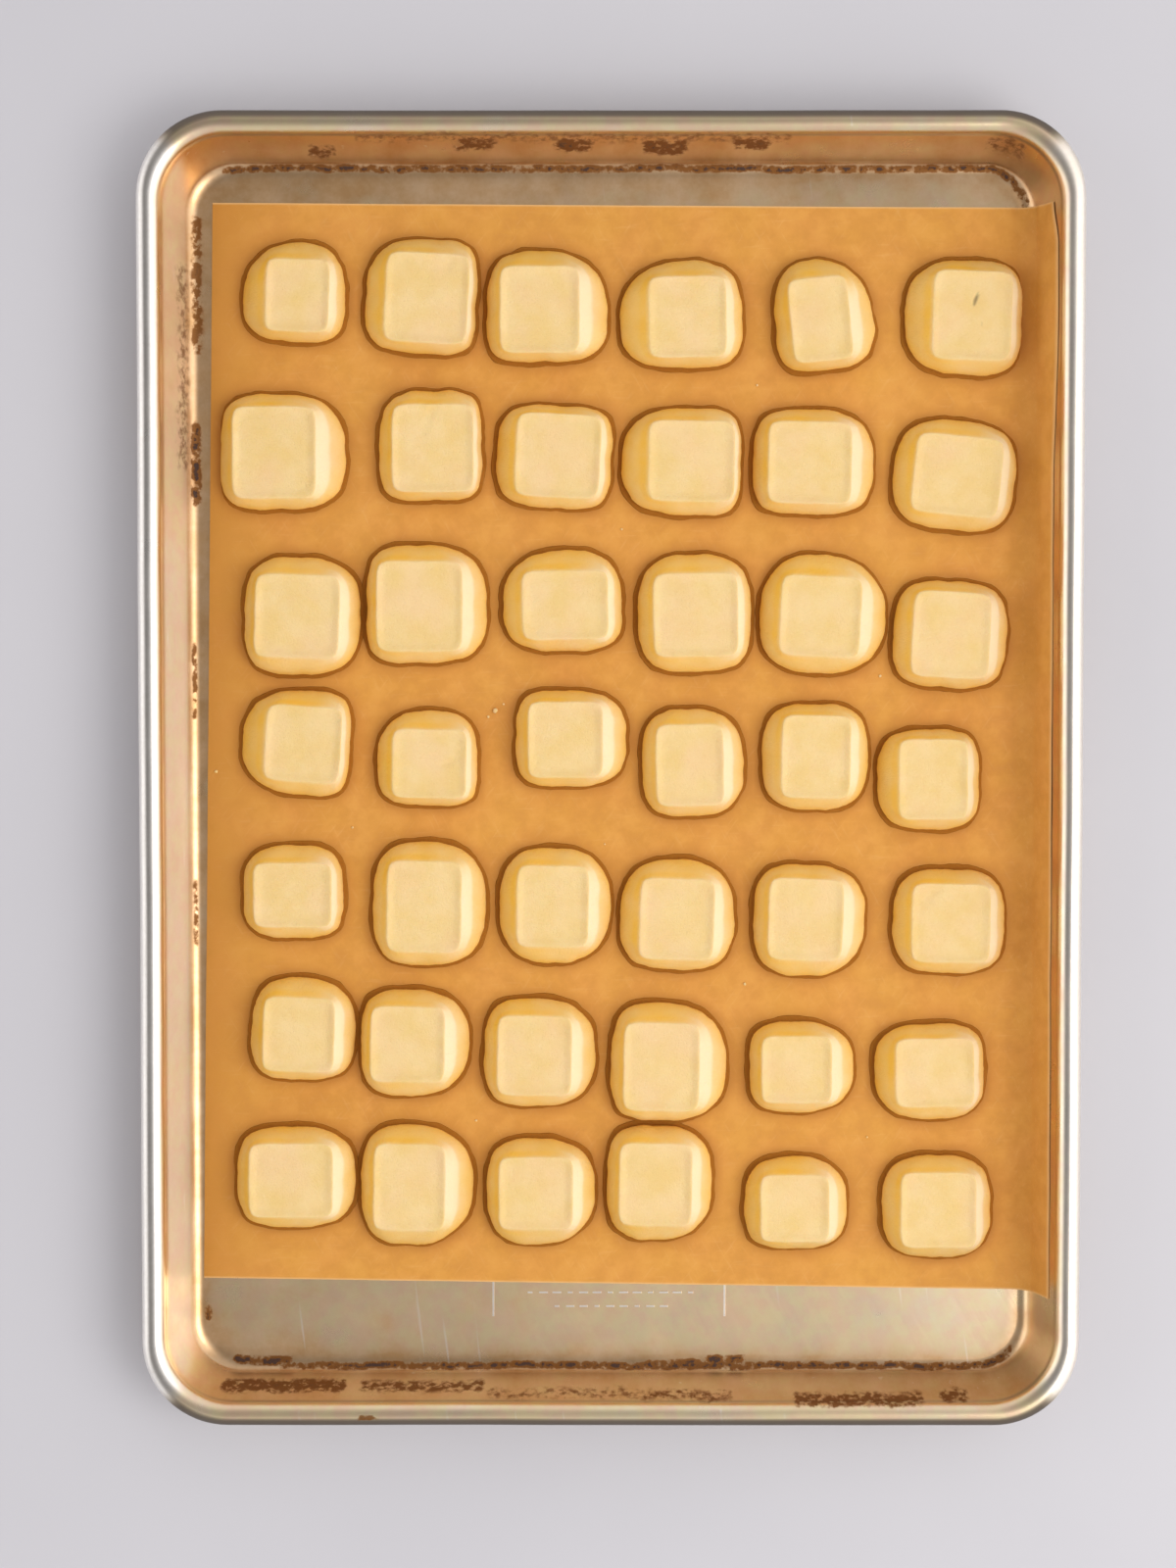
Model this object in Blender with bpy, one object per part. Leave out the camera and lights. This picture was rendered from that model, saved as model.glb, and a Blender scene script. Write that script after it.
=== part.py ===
"""Shortbread biscuits on their baking tray.

A half-size aluminium sheet pan with a rolled rim, lined with a cut of unbleached parchment whose
right-hand edge curls up against the wall, holds forty-two small square shortbread biscuits in
seven rows of six.

Metres, +Z up. The origin is the middle of the tray's underside. The tray's long side lies along
Y: row 1 of the biscuits is at its +Y end, and column 1 at its -X side.
"""

import math

import bmesh
import bpy
from mathutils import Vector

MM = 0.001

# Baking tray
TRAY_WIDTH = 0.330
TRAY_LENGTH = 0.460
TRAY_HEIGHT = 0.025
SHEET = 0.001
BEAD_RADIUS = 0.0042
FLOOR_OFFSET = 0.019  # from the tray's outer edge in to where the flat floor starts
COVE_RADIUS = 0.005  # inside radius between floor and wall
WALL_LEAN = math.radians(20)  # from the vertical
RIM_CORNER = 0.030  # plan radius of the rim's corners
FLOOR_CORNER = 0.015  # plan radius of the floor's corners
CORNER_STEPS = 8
COVE_STEPS = 3
BEAD_STEP = math.radians(30)

# Parchment
PAPER = 0.0003
GAP = 0.0003  # clearance between pieces that rest on each other
PAPER_LEFT = (-0.1458, -0.1408)  # x of the left edge at the front and at the back
PAPER_FRONT = (-0.1818, -0.1862)  # y of the front edge at the left and at the right
PAPER_BACK = (0.2012, 0.1994)  # y of the back edge at the left and at the right
WALL_CLEARANCE = 0.0004  # between the curled-up paper and the wall it leans on
CURL_RADIUS = 0.010
CURL_ANGLE = math.pi / 2 - WALL_LEAN
CURL_STEPS = 5
CURL_TAIL = (0.0092, 0.0084)  # straight paper after the curl, at the front and at the back

# Biscuits
BISCUIT_HEIGHT = 0.010
HEIGHT_SPREAD = 0.0005
TOP_SQUARENESS = 9.0  # exponent of the superellipse that bounds the flat top
CORNER_SHARE = 0.3  # how much of the sides' bulge the outline keeps at its corners
SQUAREST_CORNER = 4.5  # largest exponent an outline's corner may take
QUARTER_ANGLES = (0, 18, 38, 52, 72)  # degrees: the points that shape a quarter of an outline
BASE_SCALE = 0.94  # the underside against the widest outline
WIDEST_HEIGHT = 0.22  # share of the height
SHOULDER_HEIGHT = 0.66
SHOULDER_SPREAD = 0.55  # share of the bulge that the shoulder has reached

# Each biscuit, in millimetres and degrees, row by row from the back and each row from the left:
# the flat top's middle (x, y), its width and length, how far the left, right, back and front
# sides bulge out beyond it, and its turn, counter-clockwise from above.
BISCUITS = (
    (
        (-110.0, 167.5, 22.0, 25.0, 9.0, 5.0, 7.0, 3.0, -2),
        (-64.5, 166.5, 29.0, 31.0, 7.5, 2.5, 6.0, 3.0, -3),
        (-25.0, 162.5, 27.5, 30.0, 5.0, 10.0, 6.5, 2.5, 0),
        (27.0, 160.0, 27.0, 28.0, 10.0, 6.0, 6.5, 3.0, 1),
        (73.5, 159.0, 20.5, 29.0, 5.0, 9.0, 7.5, 2.5, 6),
        (127.0, 160.5, 27.5, 31.0, 9.0, 4.5, 4.5, 4.5, -2),
    ),
    (
        (-118.5, 112.5, 29.0, 32.0, 5.0, 10.0, 5.0, 3.5, 0),
        (-62.5, 114.0, 28.5, 30.5, 5.0, 2.5, 5.5, 2.5, 0),
        (-18.5, 111.5, 29.5, 29.0, 7.0, 4.0, 3.5, 3.5, -3),
        (28.5, 109.5, 30.0, 28.0, 9.5, 2.5, 5.0, 4.5, -1),
        (70.0, 109.0, 29.0, 28.5, 5.0, 8.5, 5.0, 3.5, -1),
        (122.0, 104.5, 30.5, 27.5, 6.5, 6.0, 6.0, 5.0, -6),
    ),
    (
        (-110.5, 55.0, 29.5, 29.0, 4.5, 7.0, 6.5, 6.0, -2),
        (-67.5, 58.5, 30.0, 31.5, 4.0, 8.5, 6.0, 4.0, 0),
        (-16.0, 59.0, 30.0, 24.0, 7.0, 5.0, 7.5, 4.0, 1),
        (30.0, 55.5, 29.5, 29.0, 5.5, 5.0, 7.0, 5.5, 1),
        (74.0, 55.0, 28.0, 28.0, 7.0, 9.5, 8.0, 6.0, -3),
        (120.0, 48.5, 27.0, 30.0, 6.0, 7.0, 4.0, 3.5, -3),
    ),
    (
        (-108.5, 10.0, 26.5, 26.5, 9.0, 2.5, 5.5, 5.0, -4),
        (-64.0, 3.0, 26.0, 24.0, 6.0, 3.5, 6.5, 3.0, -1),
        (-16.0, 11.5, 26.0, 26.5, 4.5, 8.5, 4.0, 3.5, 0),
        (28.0, 2.5, 23.5, 28.5, 5.0, 7.5, 5.5, 4.0, 1),
        (72.5, 5.5, 24.0, 29.0, 6.5, 7.0, 4.0, 4.5, -1),
        (114.0, -2.5, 24.0, 28.0, 7.0, 5.0, 3.5, 4.0, 0),
    ),
    (
        (-112.5, -43.5, 27.5, 22.5, 4.5, 3.5, 6.0, 4.5, 0),
        (-66.0, -47.5, 26.0, 32.0, 5.5, 8.5, 6.5, 5.5, -1),
        (-20.5, -47.5, 25.0, 28.5, 6.5, 8.0, 6.0, 6.5, -1),
        (23.5, -52.0, 26.0, 28.5, 7.0, 7.5, 6.5, 4.5, -2),
        (69.0, -52.0, 26.0, 28.5, 5.0, 8.5, 4.5, 6.5, -2),
        (120.5, -53.5, 27.5, 27.5, 6.0, 6.0, 5.0, 4.5, -1),
    ),
    (
        (-110.5, -93.0, 25.0, 26.0, 5.0, 7.0, 6.5, 4.0, -2),
        (-72.0, -96.5, 26.0, 26.5, 4.0, 8.5, 5.5, 6.0, -1),
        (-27.0, -100.5, 26.0, 28.0, 5.0, 8.5, 5.5, 5.0, -1),
        (18.0, -104.5, 26.5, 31.0, 4.5, 10.0, 6.5, 4.5, -1),
        (66.0, -105.5, 24.5, 23.5, 4.0, 8.5, 4.5, 4.5, 0),
        (115.0, -106.5, 27.5, 24.0, 7.0, 4.5, 4.5, 5.5, 1),
    ),
    (
        (-113.5, -145.0, 29.5, 26.0, 5.0, 7.5, 5.0, 5.0, 0),
        (-71.5, -147.5, 25.0, 30.5, 5.0, 10.0, 6.0, 6.5, -1),
        (-26.5, -149.5, 26.0, 25.5, 4.5, 8.0, 5.5, 7.0, 0),
        (16.0, -146.5, 25.5, 29.0, 4.5, 7.5, 5.5, 6.5, -1),
        (65.5, -155.0, 24.0, 23.5, 5.5, 7.0, 5.5, 4.0, 0),
        (116.5, -155.5, 26.5, 26.5, 6.0, 6.0, 5.0, 5.0, 0),
    ),
)


def clear_scene():
    for obj in list(bpy.data.objects):
        bpy.data.objects.remove(obj, do_unlink=True)


def make_material(name, colour, roughness, metallic=0.0):
    material = bpy.data.materials.new(name)
    material.use_nodes = True
    shader = material.node_tree.nodes["Principled BSDF"]
    shader.inputs["Base Color"].default_value = (*colour, 1.0)
    shader.inputs["Roughness"].default_value = roughness
    shader.inputs["Metallic"].default_value = metallic
    return material


def loft(name, rings, material, location=(0, 0, 0)):
    """A closed body through rings of equally many points, with its first and last ring filled."""
    mesh = bmesh.new()
    loops = [[mesh.verts.new(point) for point in ring] for ring in rings]
    for low, high in zip(loops, loops[1:]):
        for i in range(len(low)):
            j = (i + 1) % len(low)
            mesh.faces.new((low[i], low[j], high[j], high[i]))
    mesh.faces.new(loops[0])
    mesh.faces.new(loops[-1])
    bmesh.ops.recalc_face_normals(mesh, faces=mesh.faces)
    data = bpy.data.meshes.new(name)
    mesh.to_mesh(data)
    mesh.free()
    data.materials.append(material)
    data.shade_smooth()
    data.set_sharp_from_angle(angle=math.radians(35))
    obj = bpy.data.objects.new(name, data)
    obj.location = location
    bpy.context.scene.collection.objects.link(obj)
    return obj


def rounded_rectangle(offset, z):
    """The tray's plan outline, counter-clockwise, moved in from its outer edge by offset."""
    radius = RIM_CORNER + (FLOOR_CORNER - RIM_CORNER) * offset / FLOOR_OFFSET
    reach_x = TRAY_WIDTH / 2 - offset - radius
    reach_y = TRAY_LENGTH / 2 - offset - radius
    points = []
    for corner, (side_x, side_y) in enumerate(((1, 1), (-1, 1), (-1, -1), (1, -1))):
        for step in range(CORNER_STEPS + 1):
            angle = math.pi / 2 * (corner + step / CORNER_STEPS)
            x = side_x * reach_x + radius * math.cos(angle)
            y = side_y * reach_y + radius * math.sin(angle)
            points.append((x, y, z))
    return points


def cove(radius):
    """The bend between floor and wall, from the floor up, as (offset, z) for one face of the sheet."""
    centre_z = SHEET + COVE_RADIUS
    points = []
    for step in range(COVE_STEPS + 1):
        angle = (math.pi / 2 - WALL_LEAN) * step / COVE_STEPS
        points.append((FLOOR_OFFSET - radius * math.sin(angle), centre_z - radius * math.cos(angle)))
    return points


def bead_entry(face_point):
    """Angle on the bead where the wall face that climbs through face_point runs into it."""
    across = face_point[0] - BEAD_RADIUS
    down = face_point[1] - (TRAY_HEIGHT - BEAD_RADIUS)
    distance = across * math.cos(WALL_LEAN) + down * math.sin(WALL_LEAN)
    half_chord = math.sqrt(BEAD_RADIUS**2 - distance**2)
    x = distance * math.cos(WALL_LEAN) + half_chord * math.sin(WALL_LEAN)
    z = distance * math.sin(WALL_LEAN) - half_chord * math.cos(WALL_LEAN)
    return math.atan2(z, x)


def bead(start, end):
    """The rolled rim, from the wall's outer face round underneath, outside and over to its inner face."""
    angles = [start] + [-BEAD_STEP * k for k in range(2, 12)] + [end]
    centre_z = TRAY_HEIGHT - BEAD_RADIUS
    return [
        (BEAD_RADIUS + BEAD_RADIUS * math.cos(angle), centre_z + BEAD_RADIUS * math.sin(angle))
        for angle in angles
    ]


def build_tray():
    outside = cove(COVE_RADIUS + SHEET)
    inside = cove(COVE_RADIUS)
    rim = bead(bead_entry(outside[-1]), bead_entry(inside[-1]))
    profile = outside + rim + inside[::-1]
    aluminium = make_material("tray_aluminium", (0.62, 0.60, 0.58), 0.32, 1.0)
    return loft("tray", [rounded_rectangle(offset, z) for offset, z in profile], aluminium)


def curl_start():
    """x where the paper leaves the floor, so that its curl touches down on the wall."""
    offset, height = cove(COVE_RADIUS)[-1]
    rise = SHEET + GAP - height
    wall_foot = TRAY_WIDTH / 2 - offset + rise * math.tan(WALL_LEAN) - WALL_CLEARANCE / math.cos(WALL_LEAN)
    return wall_foot - CURL_RADIUS * math.tan(CURL_ANGLE / 2)


def paper_edge(along):
    """One edge of the parchment from left to right, at the front for along = 0 and at the back for 1,
    as a closed strip: out along its top face and home along its underside."""
    start = curl_start()
    left = PAPER_LEFT[along]
    bend = CURL_RADIUS * CURL_ANGLE
    length = start - left + bend + CURL_TAIL[along]
    y_left, y_right = PAPER_BACK if along else PAPER_FRONT
    stops = [(left, 0), (start, 0)]
    stops += [(start + bend * k / CURL_STEPS, CURL_ANGLE * k / CURL_STEPS) for k in range(1, CURL_STEPS + 1)]
    stops.append((left + length, CURL_ANGLE))
    top, under = [], []
    for distance, slope in stops:
        tail = distance - start - slope * CURL_RADIUS
        x = start + CURL_RADIUS * math.sin(slope) + tail * math.cos(slope)
        z = SHEET + GAP + CURL_RADIUS * (1 - math.cos(slope)) + tail * math.sin(slope)
        y = y_left + (y_right - y_left) * (distance - left) / length
        under.append((x, y, z))
        top.append((x - PAPER * math.sin(slope), y, z + PAPER * math.cos(slope)))
    return top + under[::-1]


def build_parchment():
    brown = make_material("parchment_brown", (0.62, 0.34, 0.12), 0.75)
    return loft("parchment", [paper_edge(0), paper_edge(1)], brown)


def superellipse_point(half_x, half_y, exponent, degrees):
    angle = math.radians(degrees)
    power = 2 / exponent
    return half_x * abs(math.cos(angle)) ** power, half_y * abs(math.sin(angle)) ** power


def corner_exponent(half_x, half_y, corner_x, corner_y):
    """The exponent whose superellipse of these half-axes passes through the corner point, up to
    SQUAREST_CORNER."""
    low, high = 1.2, SQUAREST_CORNER
    for _ in range(40):
        middle = (low + high) / 2
        if (corner_x / half_x) ** middle + (corner_y / half_y) ** middle > 1:
            low = middle
        else:
            high = middle
    return low


def biscuit_outlines(width, length, left, right, back, front):
    """The flat top's outline and the widest outline below it, as equally many (x, y) points."""
    top, widest = [], []
    sides = ((right, back), (left, back), (left, front), (right, front))
    for quarter, (bulge_x, bulge_y) in enumerate(sides):
        half_x, half_y = width / 2, length / 2
        exponent = corner_exponent(
            half_x + bulge_x,
            half_y + bulge_y,
            half_x + CORNER_SHARE * bulge_x,
            half_y + CORNER_SHARE * bulge_y,
        )
        sign_x = 1 if quarter in (0, 3) else -1
        sign_y = 1 if quarter in (0, 1) else -1
        for angle in QUARTER_ANGLES:
            # Every second quarter runs from the Y axis to the X axis, to keep one direction round.
            degrees = angle if quarter in (0, 2) else 90 - angle
            for ring, axes in (
                (top, (half_x, half_y, TOP_SQUARENESS)),
                (widest, (half_x + bulge_x, half_y + bulge_y, exponent)),
            ):
                x, y = superellipse_point(*axes, degrees)
                ring.append((sign_x * x * MM, sign_y * y * MM))
    return top, widest


def build_biscuit(name, plan, height, material):
    x, y, width, length, left, right, back, front, turn = plan
    top, widest = biscuit_outlines(width, length, left, right, back, front)
    shoulder = [
        (a[0] + (b[0] - a[0]) * SHOULDER_SPREAD, a[1] + (b[1] - a[1]) * SHOULDER_SPREAD)
        for a, b in zip(top, widest)
    ]
    base = [(BASE_SCALE * px, BASE_SCALE * py) for px, py in widest]
    levels = ((base, 0), (widest, WIDEST_HEIGHT), (shoulder, SHOULDER_HEIGHT), (top, 1))
    rings = [[(px, py, share * height) for px, py in ring] for ring, share in levels]
    biscuit = loft(name, rings, material, Vector((x * MM, y * MM, SHEET + PAPER + 2 * GAP)))
    biscuit.rotation_euler.z = math.radians(turn)
    return biscuit


def build_biscuits():
    shortbread = make_material("shortbread", (0.86, 0.66, 0.33), 0.8)
    for row, plans in enumerate(BISCUITS, start=1):
        for column, plan in enumerate(plans, start=1):
            height = BISCUIT_HEIGHT + HEIGHT_SPREAD * math.sin(2.4 * (6 * row + column))
            build_biscuit(f"biscuit_r{row}_c{column}", plan, height, shortbread)


def main():
    clear_scene()
    build_tray()
    build_parchment()
    build_biscuits()


main()
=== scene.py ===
import math

import bmesh
import bpy
import numpy as np
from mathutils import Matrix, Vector, noise


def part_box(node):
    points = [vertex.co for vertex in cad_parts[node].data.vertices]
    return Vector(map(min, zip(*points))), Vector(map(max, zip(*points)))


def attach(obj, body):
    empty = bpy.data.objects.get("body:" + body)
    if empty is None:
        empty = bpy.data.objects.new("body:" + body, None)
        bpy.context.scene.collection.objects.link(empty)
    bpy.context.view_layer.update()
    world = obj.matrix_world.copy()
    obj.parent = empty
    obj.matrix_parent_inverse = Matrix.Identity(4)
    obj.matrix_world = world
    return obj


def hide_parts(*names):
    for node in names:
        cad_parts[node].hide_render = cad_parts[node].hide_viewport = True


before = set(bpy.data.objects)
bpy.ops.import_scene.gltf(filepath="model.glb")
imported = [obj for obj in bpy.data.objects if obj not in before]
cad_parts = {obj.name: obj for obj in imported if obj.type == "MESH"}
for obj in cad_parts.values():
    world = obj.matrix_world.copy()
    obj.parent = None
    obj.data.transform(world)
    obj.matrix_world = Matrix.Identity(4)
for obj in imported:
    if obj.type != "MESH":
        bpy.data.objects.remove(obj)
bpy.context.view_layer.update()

MM = 0.001

# The tray as the CAD has it, in metres.
TRAY_WIDTH, TRAY_LENGTH, TRAY_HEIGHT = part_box("tray")[1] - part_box("tray")[0]
SHEET = 0.001
BEAD_RADIUS = 0.0042
FLOOR_OFFSET = 0.019  # from the tray's outer edge in to where the flat floor starts
COVE_RADIUS = 0.005  # inside radius between floor and wall
WALL_LEAN = math.radians(20)  # from the vertical
RIM_CORNER = 0.030  # plan radius of the rim's corners
FLOOR_CORNER = 0.015  # plan radius of the floor's corners

# What the tray has here beyond the CAD: a raised panel, and a sheet that isn't quite true.
STAMP_HEIGHT = 0.00022
STAMP_SINK = 0.00005  # how far the panel's bars reach down into the floor
WALL_SWAY = 0.00022  # sideways, growing with height
FLOOR_LIFT = 0.00012
RIM_WAVE = 0.00018  # up and down, growing with height
RIM_SIDE = 0.019  # height from which the film reaches round the outside of the rim

# The parchment as the CAD has it.
PAPER = 0.0003
PAPER_BASE = 0.0013
PAPER_LEFT = (-0.1458, -0.1408)  # x of the left edge at the front and at the back
PAPER_FRONT = (-0.1818, -0.1862)  # y of the front edge at the left and at the right
PAPER_BACK = (0.2012, 0.1994)  # y of the back edge at the left and at the right
CURL_RADIUS = 0.010
CURL_ANGLE = math.pi / 2 - WALL_LEAN
CURL_TAIL = (0.0092, 0.0084)  # straight paper after the curl, at the front and at the back

# What the parchment has here beyond the CAD.
WALL_CLEARANCE = 0.0001  # between the curled-up paper and the wall it leans on
TAIL_WAVE = 0.0030  # how much further the curl climbs where it climbs highest
PAPER_RIPPLE = 0.00010
EDGE_RIPPLE = 0.00075  # at the paper's own edges
EDGE_RIPPLE_REACH = 0.007
# Round each biscuit the paper is darkened by butter and by painted contact shade.
HALO_REACH = 0.0030  # how far butter has soaked into the paper round a biscuit
HALO_LIMIT = 0.010  # past this distance from a biscuit's box no butter is worked out

# Biscuit relief.
LIP_FALL = 0.00085  # how far the pressed top dips below its own edge
LIP_WIDTH = 0.0027
EDGE_TENSION = 0.25  # how far the top's outline rounds off between the CAD's corners, from 0 to 1
# The foot's dark colour is toasted dough and also painted contact shade.
FOOT_REACH = 0.0016  # how far the thin toasted foot stands out past the sides
FOOT_HEIGHT = 0.00028
SIDE_WOBBLE = (0.00042, 0.00012)  # broad and fine unevenness of the sides
TOP_GRAIN = (0.00005, 0.00010)  # fine and broad unevenness of the top
SEGMENT_STEPS = (6, 5, 3, 5, 6)  # fine steps for the five stretches of a quarter outline


def fractal(point, octaves):
    """Smooth noise from about -1 to 1, with finer octaves added at half strength each."""
    total, strength = 0.0, 1.0
    place = Vector(point)
    for _ in range(octaves):
        total += strength * noise.noise(place)
        place = place * 2.03 + Vector((17.1, 5.3, 9.7))
        strength *= 0.5
    return total


def smoothstep(value):
    value = min(max(value, 0.0), 1.0)
    return value * value * (3 - 2 * value)


def new_piece(name, vertices, faces, material, sharp_degrees=None):
    """A smooth-shaded mesh object."""
    data = bpy.data.meshes.new(name)
    data.from_pydata([tuple(v) for v in vertices], [], faces)
    data.validate()
    work = bmesh.new()
    work.from_mesh(data)
    bmesh.ops.recalc_face_normals(work, faces=work.faces)
    work.to_mesh(data)
    work.free()
    data.shade_smooth()
    if sharp_degrees:
        data.set_sharp_from_angle(angle=math.radians(sharp_degrees))
    data.materials.append(material)
    piece = bpy.data.objects.new(name, data)
    bpy.context.scene.collection.objects.link(piece)
    return piece


def set_attribute(piece, name, values):
    attribute = piece.data.attributes.new(name, "FLOAT", "POINT")
    attribute.data.foreach_set("value", np.asarray(values, np.float32))


def ring_faces(rings, count, first_cap=False, last_cap=False):
    """Quads between consecutive rings of count points each, and caps on the end rings."""
    faces = []
    for ring in range(rings - 1):
        low, high = ring * count, (ring + 1) * count
        for i in range(count):
            j = (i + 1) % count
            faces.append((low + i, low + j, high + j, high + i))
    if first_cap:
        faces.append(tuple(range(count)))
    if last_cap:
        faces.append(tuple(range((rings - 1) * count, rings * count)))
    return faces


# ---------------------------------------------------------------------------------------------
# Node helpers


class Tree:
    """Short names for building a material's node tree."""

    def __init__(self, name):
        self.material = bpy.data.materials.new(name)
        self.material.use_nodes = True
        self.nodes = self.material.node_tree.nodes
        self.links = self.material.node_tree.links
        self.shader = self.nodes["Principled BSDF"]
        self.place = self.nodes.new("ShaderNodeTexCoord").outputs["Object"]

    def put(self, socket, value):
        """Link a node's output to a socket, or set the socket to a plain value."""
        if isinstance(value, bpy.types.NodeSocket):
            self.links.new(value, socket)
        else:
            socket.default_value = value

    def stretched(self, scale, rotation=(0, 0, 0)):
        """Object space turned by rotation and then drawn out along each axis by scale."""
        node = self.nodes.new("ShaderNodeMapping")
        node.vector_type = "TEXTURE"
        self.links.new(self.place, node.inputs["Vector"])
        node.inputs["Scale"].default_value = scale
        node.inputs["Rotation"].default_value = rotation
        return node.outputs["Vector"]

    def noise(self, scale, detail=3.0, roughness=0.5, place=None):
        node = self.nodes.new("ShaderNodeTexNoise")
        self.links.new(place or self.place, node.inputs["Vector"])
        node.inputs["Scale"].default_value = scale
        node.inputs["Detail"].default_value = detail
        node.inputs["Roughness"].default_value = roughness
        return node.outputs["Fac"]

    def cells(self, scale):
        """Distance to the nearest of many scattered grains."""
        node = self.nodes.new("ShaderNodeTexVoronoi")
        self.links.new(self.place, node.inputs["Vector"])
        node.inputs["Scale"].default_value = scale
        return node.outputs["Distance"]

    def attribute(self, name):
        """A value that the mesh carries at each of its points."""
        node = self.nodes.new("ShaderNodeAttribute")
        node.attribute_name = name
        return node.outputs["Fac"]

    def remap(self, value, low, high, to_low=0.0, to_high=1.0, smooth=False):
        node = self.nodes.new("ShaderNodeMapRange")
        if smooth:
            node.interpolation_type = "SMOOTHSTEP"
        self.links.new(value, node.inputs["Value"])
        node.inputs["From Min"].default_value = low
        node.inputs["From Max"].default_value = high
        node.inputs["To Min"].default_value = to_low
        node.inputs["To Max"].default_value = to_high
        return node.outputs["Result"]

    def math(self, operation, a, b):
        node = self.nodes.new("ShaderNodeMath")
        node.operation = operation
        self.put(node.inputs[0], a)
        self.put(node.inputs[1], b)
        return node.outputs["Value"]

    def mix(self, factor, a, b):
        """Colour a at a factor of 0 and colour b at 1."""
        node = self.nodes.new("ShaderNodeMix")
        node.data_type = "RGBA"
        self.put(node.inputs["Factor"], factor)
        self.put(node.inputs[6], a if isinstance(a, bpy.types.NodeSocket) else (*a, 1))
        self.put(node.inputs[7], b if isinstance(b, bpy.types.NodeSocket) else (*b, 1))
        return node.outputs[2]

    def bump(self, height, distance, strength=1.0, normal=None):
        node = self.nodes.new("ShaderNodeBump")
        node.inputs["Strength"].default_value = strength
        node.inputs["Distance"].default_value = distance
        self.links.new(height, node.inputs["Height"])
        if normal:
            self.links.new(normal, node.inputs["Normal"])
        return node.outputs["Normal"]


# ---------------------------------------------------------------------------------------------
# Materials


def aluminium():
    """Aluminium under a baked-on amber film, with burnt residue, and painted shade laid on as dull grey.

    The mesh's own values say how much of each there is at each place.
    """
    t = Tree("aluminium_used")
    film = t.attribute("film")
    burn = t.attribute("burn")
    painted_shade = t.attribute("painted_shade")
    matt = t.attribute("matt")
    cloud = t.noise(55, detail=4, roughness=0.6)
    patch = t.noise(150, detail=4, roughness=0.62)
    fleck = t.noise(650, detail=6, roughness=0.7)
    spots = t.noise(380, detail=4, roughness=0.6)
    streak = t.noise(70, detail=5, roughness=0.7, place=t.stretched((1, 1, 8)))
    amount = t.math("MULTIPLY", film, t.remap(cloud, 0.3, 0.7, 0.78, 1.2))
    clean = t.mix(t.remap(fleck, 0.35, 0.7), (0.88, 0.86, 0.84), (0.80, 0.77, 0.74))
    straw = t.mix(t.remap(patch, 0.40, 0.60), (0.76, 0.64, 0.40), (0.77, 0.57, 0.40))
    amber = t.mix(t.remap(streak, 0.35, 0.65), (0.73, 0.50, 0.30), (0.60, 0.36, 0.17))
    colour = t.mix(t.remap(amount, 0.0, 0.5), clean, straw)
    colour = t.mix(t.remap(amount, 0.5, 1.0), colour, amber)
    scratch = t.noise(380, detail=1, place=t.stretched((1, 20, 1), (0, 0, 0.12)))
    colour = t.mix(t.remap(scratch, 0.73, 0.80, 0, 0.35), colour, (0.93, 0.91, 0.88))
    ragged = t.math("MULTIPLY", burn, t.remap(spots, 0.38, 0.62, 0.32, 1.18))
    brown = t.remap(ragged, 0.12, 0.62, 0, 0.92, smooth=True)
    black = t.remap(ragged, 0.95, 1.35, smooth=True)
    # Painted shade and darker reflections: a dull grey over the metal's own colour.
    colour = t.mix(painted_shade, colour, (0.100, 0.080, 0.064))
    colour = t.mix(brown, colour, (0.205, 0.078, 0.018))
    colour = t.mix(black, colour, (0.045, 0.014, 0.005))
    t.put(t.shader.inputs["Base Color"], colour)
    metallic = t.math("SUBTRACT", 1.0, t.math("MULTIPLY", matt, 0.85))
    t.put(t.shader.inputs["Metallic"], t.math("MULTIPLY", metallic, t.remap(black, 0, 1, 1.0, 0.1)))
    rough = t.math("ADD", t.remap(cloud, 0.3, 0.7, 0.26, 0.36), t.math("MULTIPLY", brown, 0.3))
    rough = t.math("ADD", rough, t.math("MULTIPLY", matt, 0.3))
    t.put(t.shader.inputs["Roughness"], rough)
    brushed = t.noise(420, detail=2, place=t.stretched((1, 25, 1), (0, 0, 0.5)))
    fine = t.bump(brushed, 0.00003, 0.5)
    t.put(t.shader.inputs["Normal"], t.bump(black, 0.0002, 0.7, fine))
    return t.material


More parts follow.
